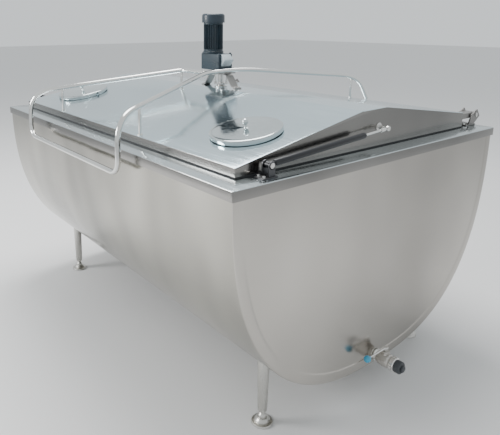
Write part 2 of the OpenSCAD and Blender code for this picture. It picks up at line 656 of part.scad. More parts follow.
outer_shell();
end_plate_outlet();
end_plate_far();
rim_flange();
inner_vessel();
insulation_jacket();
evaporator_plate();
refrigerant_stubs();
outlet_pipe();
leg_front_outlet();
leg_front_far();
leg_rear_outlet();
leg_rear_far();
foot_front_outlet();
foot_front_far();
foot_rear_outlet();
foot_rear_far();
hinge_brackets();
hinge_pins();
hinge_bolts();
spring_brackets();
spring_bracket_bolts();
lid_skin();
lid_liner();
lid_insulation();
lid_gasket();
manhole_collars();
hinge_arms();
spring_studs();
handle_rail();
rail_posts();
drive_stool();
stool_screws();
seal_housing();
seal_studs();
shaft_seal();
gearbox_case();
output_bearing();
terminal_box();
motor_case();
fan_cowl();
motor_rotor();
gear_countershaft();
agitator_shaft();
paddles();
cover_outlet();
cover_far();
cover_gasket_outlet();
cover_gasket_far();
gas_spring_outlet();
gas_spring_far();
spring_rod_outlet();
spring_rod_far();
valve_body();
valve_seats();
valve_ball();
valve_lever();
lever_knob();
union_nut();
blank_cap();
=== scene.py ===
import math

import bmesh
import bpy
from mathutils import Matrix, Vector


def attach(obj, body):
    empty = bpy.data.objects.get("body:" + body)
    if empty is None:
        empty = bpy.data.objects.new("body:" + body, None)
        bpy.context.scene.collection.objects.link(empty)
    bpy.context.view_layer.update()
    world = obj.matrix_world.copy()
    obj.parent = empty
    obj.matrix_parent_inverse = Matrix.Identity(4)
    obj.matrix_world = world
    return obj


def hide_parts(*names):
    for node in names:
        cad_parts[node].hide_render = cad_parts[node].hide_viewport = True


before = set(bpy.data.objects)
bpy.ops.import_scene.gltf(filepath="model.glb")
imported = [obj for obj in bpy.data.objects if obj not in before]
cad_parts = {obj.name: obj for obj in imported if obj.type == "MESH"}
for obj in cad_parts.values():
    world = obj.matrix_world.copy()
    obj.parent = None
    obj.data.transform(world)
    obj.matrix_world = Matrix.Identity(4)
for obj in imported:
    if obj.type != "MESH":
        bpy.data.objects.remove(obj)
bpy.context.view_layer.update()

# ---------------------------------------------------------------- surface finishes
# Every finish is a principled shader fed by one of three shared effects: drawn or brushed
# sheet steel, a coating such as enamel, rubber or moulded plastic, and foam.
# The grain runs the way the sheet was brushed, and the sheet is never quite flat.


def socket(tree, name, kind, inout, value=None):
    made = tree.interface.new_socket(name=name, in_out=inout, socket_type=kind)
    if value is not None:
        made.default_value = value
    return made


def effect(name, inputs, outputs):
    """A node group with named inputs and outputs; gives the group and its two end nodes."""
    tree = bpy.data.node_groups.new(name, "ShaderNodeTree")
    for label, kind, value in inputs:
        socket(tree, label, kind, "INPUT", value)
    for label, kind in outputs:
        socket(tree, label, kind, "OUTPUT")
    start = tree.nodes.new("NodeGroupInput")
    end = tree.nodes.new("NodeGroupOutput")
    return tree, start, end


def stretched_noise(tree, scale_from, scale, detail):
    place = tree.nodes.new("ShaderNodeTexCoord")
    mapping = tree.nodes.new("ShaderNodeMapping")
    noise = tree.nodes.new("ShaderNodeTexNoise")
    noise.inputs["Scale"].default_value = scale
    noise.inputs["Detail"].default_value = detail
    tree.links.new(place.outputs["Object"], mapping.inputs["Vector"])
    if scale_from is not None:
        tree.links.new(scale_from, mapping.inputs["Scale"])
    tree.links.new(mapping.outputs["Vector"], noise.inputs["Vector"])
    return noise.outputs["Fac"]


def ranged(tree, value, low, high, from_min=0.3, from_max=0.7):
    node = tree.nodes.new("ShaderNodeMapRange")
    node.inputs["From Min"].default_value = from_min
    node.inputs["From Max"].default_value = from_max
    node.inputs["To Min"].default_value = low
    node.inputs["To Max"].default_value = high
    tree.links.new(value, node.inputs["Value"])
    return node.outputs["Result"]


def scaled_color(tree, color, factor):
    node = tree.nodes.new("ShaderNodeVectorMath")
    node.operation = "SCALE"
    tree.links.new(color, node.inputs[0])
    tree.links.new(factor, node.inputs["Scale"])
    return node.outputs["Vector"]


def added(tree, a, b):
    node = tree.nodes.new("ShaderNodeMath")
    node.operation = "ADD"
    tree.links.new(a, node.inputs[0])
    tree.links.new(b, node.inputs[1])
    return node.outputs["Value"]


def bumped(tree, height, strength, distance, normal=None):
    node = tree.nodes.new("ShaderNodeBump")
    node.inputs["Distance"].default_value = distance
    tree.links.new(height, node.inputs["Height"])
    if isinstance(strength, float):
        node.inputs["Strength"].default_value = strength
    else:
        tree.links.new(strength, node.inputs["Strength"])
    if normal is not None:
        tree.links.new(normal, node.inputs["Normal"])
    return node.outputs["Normal"]


SURFACE_OUT = [("Color", "NodeSocketColor"), ("Roughness", "NodeSocketFloat"), ("Normal", "NodeSocketVector")]

sheet_steel, start, end = effect(
    "sheet steel",
    [("Color", "NodeSocketColor", (0.6, 0.6, 0.6, 1)), ("Roughness", "NodeSocketFloat", 0.25),
     ("Grain stretch", "NodeSocketVector", (4, 90, 90)), ("Grain", "NodeSocketFloat", 0.05),
     ("Cloud stretch", "NodeSocketVector", (2, 2, 2)), ("Cloud depth", "NodeSocketFloat", 0.3),
     ("Wave", "NodeSocketFloat", 0.1)],
    SURFACE_OUT)
grain = stretched_noise(sheet_steel, start.outputs["Grain stretch"], 6, 3)
cloud = stretched_noise(sheet_steel, start.outputs["Cloud stretch"], 1, 2)
# Broad cloud patches lighten and darken the sheet's colour: painted reflection patches. The same cloud also gives the
# sheet its gentle wave through the bump.
depth = sheet_steel.nodes.new("ShaderNodeMath")
depth.operation = "MULTIPLY_ADD"
depth.inputs[2].default_value = 1.0
sheet_steel.links.new(ranged(sheet_steel, cloud, -1, 0.6), depth.inputs[0])
sheet_steel.links.new(start.outputs["Cloud depth"], depth.inputs[1])
shade = scaled_color(sheet_steel, start.outputs["Color"], depth.outputs["Value"])
rough = added(sheet_steel, start.outputs["Roughness"], ranged(sheet_steel, grain, -0.05, 0.06))
normal = bumped(sheet_steel, cloud, start.outputs["Wave"], 0.02)
normal = bumped(sheet_steel, grain, start.outputs["Grain"], 0.0004, normal)
for label, value in (("Color", shade), ("Roughness", rough), ("Normal", normal)):
    sheet_steel.links.new(value, end.inputs[label])

coating, start, end = effect(
    "coating",
    [("Color", "NodeSocketColor", (0.1, 0.1, 0.1, 1)), ("Roughness", "NodeSocketFloat", 0.4),
     ("Stretch", "NodeSocketVector", (1, 1, 1)), ("Peel", "NodeSocketFloat", 0.1)],
    SURFACE_OUT)
speck = stretched_noise(coating, start.outputs["Stretch"], 260, 2)
dust = stretched_noise(coating, start.outputs["Stretch"], 14, 3)
shade = scaled_color(coating, start.outputs["Color"], ranged(coating, dust, 0.85, 1.18))
rough = added(coating, start.outputs["Roughness"], ranged(coating, dust, -0.05, 0.07))
normal = bumped(coating, speck, start.outputs["Peel"], 0.0006)
for label, value in (("Color", shade), ("Roughness", rough), ("Normal", normal)):
    coating.links.new(value, end.inputs[label])

foam_cells, start, end = effect(
    "foam cells", [("Color", "NodeSocketColor", (0.8, 0.7, 0.4, 1)), ("Cell", "NodeSocketFloat", 400)],
    SURFACE_OUT)
place = foam_cells.nodes.new("ShaderNodeTexCoord")
cells = foam_cells.nodes.new("ShaderNodeTexVoronoi")
foam_cells.links.new(place.outputs["Object"], cells.inputs["Vector"])
foam_cells.links.new(start.outputs["Cell"], cells.inputs["Scale"])
pores = ranged(foam_cells, cells.outputs["Distance"], 0.8, 1.08, 0.0, 0.7)
for label, value in (
        ("Color", scaled_color(foam_cells, start.outputs["Color"], pores)),
        ("Roughness", ranged(foam_cells, cells.outputs["Distance"], 0.8, 0.95, 0.0, 0.7)),
        ("Normal", bumped(foam_cells, cells.outputs["Distance"], 0.5, 0.001))):
    foam_cells.links.new(value, end.inputs[label])


def finish(name, tree, metallic=0.0, coat=0.0, **settings):
    """A material: one effect group, with its values, into a principled shader."""
    made = bpy.data.materials.new(name)
    made.use_nodes = True
    shader = made.node_tree.nodes["Principled BSDF"]
    surface = made.node_tree.nodes.new("ShaderNodeGroup")
    surface.node_tree = tree
    for label, value in settings.items():
        surface.inputs[label.replace("_", " ")].default_value = value
    made.node_tree.links.new(surface.outputs["Color"], shader.inputs["Base Color"])
    made.node_tree.links.new(surface.outputs["Roughness"], shader.inputs["Roughness"])
    made.node_tree.links.new(surface.outputs["Normal"], shader.inputs["Normal"])
    shader.inputs["Metallic"].default_value = metallic
    shader.inputs["Coat Weight"].default_value = coat
    shader.inputs["Coat Roughness"].default_value = 0.08
    return made


# depth sets the strength of the painted reflection patches in the sheet's colour.
def steel(name, color, roughness, grain_stretch=(3, 60, 60), grain=0.25,
          cloud_stretch=(2, 2, 2), depth=0.15, wave=0.0):
    return finish(name, sheet_steel, 1.0, Color=(*color, 1), Roughness=roughness, Grain_stretch=grain_stretch,
                  Grain=grain, Cloud_stretch=cloud_stretch, Cloud_depth=depth, Wave=wave)


def coated(name, color, roughness, peel=0.1, coat=0.0):
    return finish(name, coating, 0.0, coat, Color=(*color, 1), Roughness=roughness, Peel=peel)


# The wrapped sheet and the end sheets are the same stainless darkened in colour: painted reflection of a dark floor,
# with the end sheets a little lighter.
wrapped_sheet = steel("wrapped sheet", (0.40, 0.385, 0.345), 0.17, (1, 40, 40), 0.15,
                      (2.4, 0.8, 0.9), 0.5, 0.5)
end_sheet = steel("end sheet", (0.48, 0.455, 0.42), 0.19, (40, 1, 40), 0.15, (0.8, 1.3, 0.8), 0.38, 0.4)
# The lid sheet is the same stainless made paler and bluer: painted sky reflection on its upward faces.
lid_sheet = steel("lid sheet", (0.66, 0.78, 0.83), 0.13, (1, 40, 40), 0.12, (0.7, 1.6, 1), 0.15, 0.15)
# A darker copy of the same stainless for the upright faces of the folded lid and rim: painted shade.
skirt_shade_sheet = steel("skirt painted shade", (0.27, 0.262, 0.25), 0.2, (1, 40, 40), 0.15, (0.9, 1.6, 1), 0.3, 0.2)
# The rim sheet is made blue-grey in the same way: painted sky reflection.
rim_sheet = steel("rim sheet", (0.60, 0.66, 0.68), 0.16, (1, 40, 40), 0.15, (1.2, 1.2, 1), 0.15, 0.15)
vessel_sheet = steel("vessel sheet", (0.70, 0.70, 0.69), 0.22, (1, 30, 30), 0.15, (1, 1, 1), 0.1, 0.1)
bright_tube = steel("bright tube", (0.80, 0.80, 0.78), 0.1, (20, 20, 20), 0.1)
spun_steel = steel("spun steel", (0.66, 0.72, 0.73), 0.12, (8, 8, 60), 0.15)
satin_tube = steel("satin tube", (0.56, 0.55, 0.52), 0.3, (60, 60, 4), 0.3)
dull_plate = steel("dull plate", (0.30, 0.29, 0.28), 0.36, (30, 30, 30), 0.3)
dark_plate = steel("dark plate", (0.10, 0.10, 0.105), 0.4, (30, 30, 30), 0.3)
machined = steel("machined steel", (0.72, 0.71, 0.69), 0.22, (30, 30, 30), 0.25)
cast_steel = steel("cast steel", (0.50, 0.48, 0.45), 0.34, (60, 60, 60), 0.6)
copper = steel("copper", (0.72, 0.42, 0.28), 0.3, (6, 60, 60), 0.3)
winding_steel = steel("rotor steel", (0.42, 0.41, 0.40), 0.4, (60, 60, 4), 0.3)
slate_enamel = coated("slate enamel", (0.009, 0.024, 0.036), 0.38, 0.25, 0.15)
cowl_enamel = coated("cowl enamel", (0.012, 0.026, 0.04), 0.42, 0.25, 0.2)
grey_enamel = coated("grey enamel", (0.42, 0.48, 0.51), 0.4, 0.2, 0.2)
black_gloss = coated("black gloss", (0.004, 0.005, 0.008), 0.34, 0.05, 0.06)
black_rubber = coated("black rubber", (0.02, 0.02, 0.022), 0.65, 0.4)
white_rubber = coated("white rubber", (0.8, 0.8, 0.76), 0.5, 0.2)
blue_plastic = coated("blue plastic", (0.004, 0.30, 0.50), 0.16, 0.03, 0.8)
dark_plastic = coated("dark plastic", (0.035, 0.04, 0.045), 0.42, 0.2)
foam = finish("foam", foam_cells, Color=(0.78, 0.68, 0.40, 1))

# ---------------------------------------------------------------- how the pieces are made
# Shared makers: skins lofted through loops of points, turned parts, bent tubes, flat bars.
# Lengths are in millimetres from the middle of the tank's rim, as a fitter would measure.
RIM_MIDDLE = Vector((-27, 10.5, 978))
TURN = 2 * math.pi


def at(x, y, z):
    return (Vector((x, y, z)) + RIM_MIDDLE) / 1000


def piece(name, mesh, material, body, replaces=()):
    """Turns a bmesh into a smooth-shaded object that rides on a body."""
    bmesh.ops.remove_doubles(mesh, verts=mesh.verts, dist=1e-6)
    bmesh.ops.recalc_face_normals(mesh, faces=mesh.faces)
    data = bpy.data.meshes.new(name)
    mesh.to_mesh(data)
    mesh.free()
    made = bpy.data.objects.new(name, data)
    bpy.context.scene.collection.objects.link(made)
    data.materials.append(material)
    for face in data.polygons:
        face.use_smooth = True
    data.set_sharp_from_angle(angle=math.radians(35))
    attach(made, body)
    if replaces:
        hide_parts(*replaces)
    return made


def paint_skirt_shade(made):
    """Gives the upright faces of a folded sheet a darker copy of the same steel: painted shade on the skirts."""
    made.data.materials.append(skirt_shade_sheet)
    for face in made.data.polygons:
        if abs(face.normal.z) < 0.3:
            face.material_index = 1


def loft(mesh, loops, closed=False, cap=True):
    """Skins through loops of points. closed joins the last loop to the first; cap fills the two ends."""
    rings = [[mesh.verts.new(point) for point in loop] for loop in loops]
    pairs = list(zip(rings, rings[1:] + rings[:1])) if closed else list(zip(rings, rings[1:]))
    for one, two in pairs:
        for i in range(len(one)):
            k = (i + 1) % len(one)
            mesh.faces.new((one[i], one[k], two[k], two[i]))
    if cap and not closed:
        mesh.faces.new(rings[0][::-1])
        mesh.faces.new(rings[-1])


def frame_of(axis):
    side = axis.orthogonal().normalized()
    return side, axis.cross(side).normalized()


def turned(mesh, origin, axis, profile, sides=40):
    """A turned part: profile is (distance along the axis, radius) pairs in millimetres."""
    axis = Vector(axis).normalized()
    side, up = frame_of(axis)
    loops = []
    for along, radius in profile:
        centre = Vector(origin) + axis * along
        loops.append([at(*(centre + max(radius, 0.05) * (math.cos(TURN * k / sides) * side
                                                        + math.sin(TURN * k / sides) * up)))
                      for k in range(sides)])
    loft(mesh, loops)


def rounded(along, radius, size, steps=3):
    """The profile of an outside edge: it turns from the face in to the side over size millimetres."""
    return [(along + size * (1 - math.cos(t)), radius - size * (1 - math.sin(t)))
            for t in (math.pi / 2 * k / steps for k in range(steps + 1))]


def rod(mesh, start, end, radius, edge=1.0, sides=32):
    """A plain round bar with small rounded ends."""
    start, end = Vector(start), Vector(end)
    length = (end - start).length
    near = rounded(0, radius, edge)
    far = [(length - a, r) for a, r in reversed(near)]
    turned(mesh, start, end - start, near + far, sides)


def ball(mesh, centre, radius, sides=32):
    steps = 16
    profile = [(-radius * math.cos(math.pi * k / steps), radius * math.sin(math.pi * k / steps))
               for k in range(steps + 1)]
    turned(mesh, centre, (0, 0, 1), profile, sides)


def hexagon(mesh, origin, axis, across, height, sides=6):
    """A nut or bolt head with its top corners chamfered."""
    radius = across / 2 / math.cos(math.pi / sides)
    turned(mesh, origin, axis, [(0, radius), (height - 1, radius), (height, across / 2 * 0.94)], sides)


def bolt(mesh, origin, axis, across, height):
    """A washer and a chamfered hexagon head."""
    axis = Vector(axis).normalized()
    turned(mesh, origin, axis, rounded(0, across * 0.68, 0.3) + [(1.4, across * 0.68)], 28)
    hexagon(mesh, Vector(origin) + axis * 1.4, axis, across, height)


def bent(points, radii, steps=12):
    """The centre line through corner points, with each corner turned over its radius."""
    points = [Vector(p) for p in points]
    line = [points[0]]
    for before, corner, after, radius in zip(points, points[1:], points[2:], radii):
        first = (before - corner).normalized() * min(radius, (before - corner).length / 2.1)
        last = (after - corner).normalized() * min(radius, (after - corner).length / 2.1)
        for k in range(steps + 1):
            u = k / steps
            line.append(corner + first * (1 - u) ** 2 + last * u ** 2)
    return line + [points[-1]]


def tube(mesh, line, radius, sides=24):
    """A round tube along a centre line, with its rings turned as little as they can be."""
    side = None
    loops = []
    for k, point in enumerate(line):
        way = (line[min(k + 1, len(line) - 1)] - line[max(k - 1, 0)]).normalized()
        side = frame_of(way)[0] if side is None else (side - way * side.dot(way)).normalized()
        up = way.cross(side)
        loops.append([at(*(point + radius * (math.cos(TURN * i / sides) * side + math.sin(TURN * i / sides) * up)))
                      for i in range(sides)])
    loft(mesh, loops)


def strap(mesh, line, width, thickness, across):
    """A flat bar bent along a line; across is the way its width runs."""
    across = Vector(across).normalized() * width / 2
    loops = []
    for k, point in enumerate(line):
        way = (line[min(k + 1, len(line) - 1)] - line[max(k - 1, 0)]).normalized()
        lift = way.cross(across).normalized() * thickness / 2
        loops.append([at(*(point + across - lift)), at(*(point + across + lift)),
                      at(*(point - across + lift)), at(*(point - across - lift))])
    loft(mesh, loops)


def block(mesh, lo, hi, edge=1.0):
    """A plate or casting with rounded edges, given by its two corners."""
    made = bmesh.new()
    bmesh.ops.create_cube(made, size=1)
    lo, hi = at(*lo), at(*hi)
    for corner in made.verts:
        corner.co = Vector([lo[i] + (corner.co[i] + 0.5) * (hi[i] - lo[i]) for i in range(3)])
    bmesh.ops.bevel(made, geom=made.edges[:], offset=edge / 1000, segments=3, affect="EDGES", profile=0.6)
    data = bpy.data.meshes.new("block")
    made.to_mesh(data)
    made.free()
    mesh.from_mesh(data)
    bpy.data.meshes.remove(data)


def trough(half_width, depth, x, top, steps=72):
    """The tank's outline at x, from one top corner round the bottom to the other."""
    roundness = 2 / 2.53
    loop = []
    for k in range(steps + 1):
        angle = math.pi * k / steps
        y = half_width * math.copysign(abs(math.cos(angle)) ** roundness, math.cos(angle))
        z = -depth * abs(math.sin(angle)) ** roundness
        loop.append(at(x, y, min(top, z)))
    return loop


def oblong(half_x, half_y, z, radius, steps=6):
    """A rectangle with rounded corners, seen from above."""
    loop = []
    for k, (sx, sy) in enumerate(((1, 1), (-1, 1), (-1, -1), (1, -1))):
        for i in range(steps + 1):
            angle = math.pi / 2 * (k + i / steps)
            loop.append(at(sx * (half_x - radius) + radius * math.cos(angle),
                           sy * (half_y - radius) + radius * math.sin(angle), z))
    return loop


# ---------------------------------------------------------------- tank shell
# The outer skin is one stainless sheet wrapped round the trough and welded to two end plates,
# whose edges are pressed out into a flat band that follows the outline.
shell_half = 743
shell_depth = 843
plate_x = 933

mesh = bmesh.new()
loft(mesh, [trough(shell_half, shell_depth, x, -4) + trough(shell_half - 3, shell_depth - 3, x, -4)[::-1]
            for x in (-plate_x + 4, plate_x - 4)])
piece("shell_sheet", mesh, wrapped_sheet, "tank", ["outer_shell"])

# The end plates: a rounded outer edge, the band, a soft crease and the flat field inside it.
for side, cad_node in ((1, "end_plate_outlet"), (-1, "end_plate_far")):
    mesh = bmesh.new()
    steps_in = [(0, -4.0), (0.4, -2.2), (1.6, -0.9), (3.6, 0), (7, 0.0),
                (33, -0.6), (36, -1.1), (38, -2.0), (40, -2.4), (43, -2.5)]
    loft(mesh, [trough(shell_half - inset, shell_depth - inset, side * (plate_x + out), -4)
                for inset, out in steps_in])
    piece(cad_node + "_sheet", mesh, end_sheet, "tank", [cad_node])

# ---------------------------------------------------------------- rim
# A plate round the top of the tank, folded down into a short skirt outside and in to the milk
# space, with its corners welded and ground round.
rim_half = (940, 750)
mesh = bmesh.new()
rim_fold = [(0, -34), (0, -4), (0.5, -2.3), (1.6, -0.8), (3.6, 0), (134.5, 0), (136, -1.2), (136, -4),
            (3, -4), (3, -34)]
loft(mesh, [oblong(rim_half[0] - inset, rim_half[1] - inset, z, max(5 - inset, 1.5))
            for inset, z in rim_fold], closed=True)
paint_skirt_shade(piece("rim_plate", mesh, rim_sheet, "tank", ["rim_flange"]))

# ---------------------------------------------------------------- legs and feet
# Tapered satin tubes welded to the underside of the shell. Each foot is a turned pad with a
# ball on a threaded stud, and a lock nut under the leg.
LEG_X, LEG_Y, FLOOR = 787, 466, -978
for sx, end_name in ((1, "outlet"), (-1, "far")):
    for sy, side_name in ((-1, "front"), (1, "rear")):
        x, y = sx * LEG_X, sy * LEG_Y
        mesh = bmesh.new()
        turned(mesh, (x, y, FLOOR + 62), (0, 0, 1),
               [(0, 10.2), (0, 16.5), (0.6, 17.7), (1.6, 18.1), (150, 21), (296, 24), (298, 23)], 48)
        piece(f"leg_{side_name}_{end_name}_tube", mesh, satin_tube, "tank",
              [f"leg_{side_name}_{end_name}"])
        mesh = bmesh.new()
        turned(mesh, (x, y, FLOOR), (0, 0, 1),
               [(0, 38.5), (0.8, 39.6), (2, 40), (6, 38.6), (7.6, 37.6), (8.4, 35.5), (9, 31), (12, 26.5), (16, 22),
                (20, 18.6), (22, 16), (22.6, 14)], 48)
        ball(mesh, (x, y, FLOOR + 25), 15)
        thread = [(36, 9.0)]
        for k in range(13):
            thread += [(38 + k * 2, 9.9), (39 + k * 2, 9.0)]
        turned(mesh, (x, y, FLOOR), (0, 0, 1), thread + [(128, 9.0)], 24)
        hexagon(mesh, (x, y, FLOOR + 48), (0, 0, 1), 29, 13)
        piece(f"foot_{side_name}_{end_name}_stand", mesh, satin_tube, f"foot_{side_name}_{end_name}",
              [f"foot_{side_name}_{end_name}"])

# ---------------------------------------------------------------- lid
# One folded stainless skin over foam: two slopes, a flat ridge and a plain skirt all round,
# with a hole for each inspection collar and one for the agitator shaft.
LID_X = 858
RIDGE = ((-80, 144), (60, 144))
LID_FRONT, LID_REAR = (-672, 35), (628, 66)
SLOPE = math.atan((RIDGE[0][1] - LID_FRONT[1]) / (RIDGE[0][0] - LID_FRONT[0]))
REAR_SLOPE = math.atan((RIDGE[1][1] - LID_REAR[1]) / (LID_REAR[0] - RIDGE[1][0]))
COVER_X, COVER_Y = 652, -446
COVER_Z = LID_FRONT[1] + math.tan(SLOPE) * (COVER_Y - LID_FRONT[0])
DRIVE = (-15, -20)
SLOPE_UP = Vector((0, -math.sin(SLOPE), math.cos(SLOPE)))


def lid_block(inset, bottom, edge):
    """The closed shape of the lid, smaller by inset, with rounded folds."""
    made = bmesh.new()
    y0, z0 = LID_FRONT[0] + inset, LID_FRONT[1] - inset * 0.8
    y1, z1 = LID_REAR[0] - inset, LID_REAR[1] - inset * 0.8
    outline = [(y0, bottom), (y0, z0), (RIDGE[0][0], RIDGE[0][1] - inset), (RIDGE[1][0], RIDGE[1][1] - inset),
               (y1, z1), (y1, bottom)]
    loft(made, [[at(x, y, z) for y, z in outline] for x in (-LID_X + inset, LID_X - inset)])
    if edge:
        low = at(0, 0, bottom).z + 1e-4
        folds = [e for e in made.edges if max(v.co.z for v in e.verts) > low]
        bmesh.ops.bevel(made, geom=folds, offset=edge / 1000, segments=3, affect="EDGES", profile=0.6)
    data = bpy.data.meshes.new("lid block")
    made.to_mesh(data)
    made.free()
    made = bpy.data.objects.new("lid block", data)
    bpy.context.scene.collection.objects.link(made)
    return made


def cut(solid, cutters):
    """Cuts each cutter out of the solid and gives the result back as a bmesh; both are used up."""
    for cutter in cutters:
        step = solid.modifiers.new("cut", "BOOLEAN")
        step.operation = "DIFFERENCE"
        step.solver = "EXACT"
        step.object = cutter
    graph = bpy.context.evaluated_depsgraph_get()
    result = bmesh.new()
    result.from_mesh(solid.evaluated_get(graph).to_mesh())
    for used in [solid, *cutters]:
        bpy.data.objects.remove(used)
    return result


def plug(origin, axis, radius, length):
    made = bmesh.new()
    turned(made, origin, axis, [(0, radius), (length, radius)], 64)
    bmesh.ops.recalc_face_normals(made, faces=made.faces)
    data = bpy.data.meshes.new("plug")
    made.to_mesh(data)
    made.free()
    made = bpy.data.objects.new("plug", data)
    bpy.context.scene.collection.objects.link(made)
    return made


holes = [plug(Vector((s * COVER_X, COVER_Y, COVER_Z)) - SLOPE_UP * 120, SLOPE_UP, 122, 160) for s in (-1, 1)]
holes.append(plug((*DRIVE, 40), (0, 0, 1), 24, 130))
bpy.context.view_layer.update()
skin = piece("lid_folded_skin", cut(lid_block(0, 6, 2.5), [lid_block(2, 5, 0), *holes]), lid_sheet,
             "lid", ["lid_skin"])
paint_skirt_shade(skin)

# ---------------------------------------------------------------- inspection covers
# Two spun lids that sit over the collars: a rolled rim, a shallow dome and a ball knob on a
# short neck, with a white gasket underneath.
for side, name in ((1, "outlet"), (-1, "far")):
    foot = Vector((side * COVER_X, COVER_Y, COVER_Z))
    mesh = bmesh.new()
    turned(mesh, foot, SLOPE_UP,
           [(17.2, 0.5), (17.2, 126.2), (5.4, 126.4), (3.9, 126.9), (3.4, 127.9), (3.9, 128.8),
            (5, 129), (15.6, 129), (17.6, 128.5), (18.6, 127), (18.9, 124.5), (18.8, 121),
            (18.4, 117), (18.8, 108), (19.6, 80), (20.4, 40), (20.7, 9), (21.6, 6.6), (24, 5), (30, 4.2), (34, 4.6)], 96)
    ball(mesh, foot + SLOPE_UP * 41.3, 11)
    piece(f"cover_{name}_spun", mesh, spun_steel, f"cover_{name}", [f"cover_{name}"])

# ---------------------------------------------------------------- handle frame
# One polished tube bent on a mandrel: a deep front grip, two arms that close in towards the
# drive, and one tail that goes over the ridge to the rear edge. It stands on short posts.
FRAME_X = -60
LID_END = LID_REAR[0] - 6


def beside(side, out, y, z):
    return (FRAME_X + side * out, y, z)


corners = [beside(-1, 30, -150, 220), beside(-1, 90, -150, 220), beside(-1, 425, -790, 128),
           beside(-1, 430, -795, -76), beside(1, 430, -795, -76), beside(1, 425, -790, 128),
           beside(1, 90, -150, 220), beside(1, 125, 45, 230), beside(1, 400, 570, 186),
           beside(1, 422, LID_END, 71.5)]
mesh = bmesh.new()
tube(mesh, bent(corners, [30, 110, 60, 60, 110, 60, 90, 90]), 10)
rod(mesh, beside(-1, 70, -150, 220), beside(1, 86, -150, 220), 9.6, 0.5)
piece("handle_tube", mesh, bright_tube, "lid", ["handle_rail"])

# Posts: a turned round foot screwed to the lid and a short bar welded under the tube.
mesh = bmesh.new()
for (x, y, z), lean in ((beside(-1, 357, -660, 146), SLOPE), (beside(1, 357, -660, 146), SLOPE),
                        (beside(-1, 90, -158, 219), SLOPE), (beside(1, 383, 540, 182), -REAR_SLOPE)):
    if y < 0:
        base = LID_FRONT[1] + math.tan(SLOPE) * (y - LID_FRONT[0])
    else:
        base = RIDGE[1][1] - math.tan(REAR_SLOPE) * (y - RIDGE[1][0])
    turned(mesh, (x, y, base), (0, -math.sin(lean), math.cos(lean)),
           [(0, 10.6), (0.6, 11), (2.2, 11), (3.2, 10.2), (3.6, 8)], 32)
    rod(mesh, (x, y, base + 1), (x, y, z - 8), 6, 0.4, 24)
piece("handle_posts", mesh, bright_tube, "lid", ["rail_posts"])

# ---------------------------------------------------------------- lid hinges
# Two plate brackets bolted to the rear of the rim, a thick arm from the lid between their
# ears, and a pin with a head through both.
HINGE_Y, HINGE_Z, HINGE_X = 748, 44, 824
for side, name in ((1, "outlet"), (-1, "far")):
    mesh = bmesh.new()
    block(mesh, (side * HINGE_X - 32, 668, 0), (side * HINGE_X + 32, 750, 5), 1)
    for ear in (-1, 1):
        x = side * HINGE_X + ear * 29
        outline = [(690, 4.5), (738, 4.5), (784, 36), (758, 68), (712, 50)]
        ears = bmesh.new()
        loft(ears, [[at(x + dx, y, z) for y, z in outline] for dx in (-3, 3)])
        bmesh.ops.bevel(ears, geom=ears.edges[:], offset=0.0012, segments=2, affect="EDGES")
        data = bpy.data.meshes.new("ear")
        ears.to_mesh(data)
        ears.free()
        mesh.from_mesh(data)
    piece(f"hinge_plate_{name}", mesh, dull_plate, "tank", ["hinge_brackets"])
    mesh = bmesh.new()
    rod(mesh, (side * HINGE_X - 24, HINGE_Y, HINGE_Z), (side * HINGE_X + 24, HINGE_Y, HINGE_Z), 13)
    block(mesh, (side * HINGE_X - 24, 626, HINGE_Z - 12), (side * HINGE_X + 24, HINGE_Y, HINGE_Z + 12), 2)
    piece(f"hinge_arm_{name}", mesh, dull_plate, "lid", ["hinge_arms"])
    mesh = bmesh.new()
    rod(mesh, (side * (HINGE_X - 36), HINGE_Y, HINGE_Z), (side * (HINGE_X + 33), HINGE_Y, HINGE_Z), 6)
    turned(mesh, (side * (HINGE_X + 32), HINGE_Y, HINGE_Z), (side, 0, 0), [(0, 9), (3.6, 9), (4.6, 8), (5, 6)], 32)
    for dx in (-16, 16):
        for y in (678, 700):
            bolt(mesh, (side * HINGE_X + dx, y, 5), (0, 0, 1), 12, 5.6)
    piece(f"hinge_fixings_{name}", mesh, machined, "tank", ["hinge_pins", "hinge_bolts"])

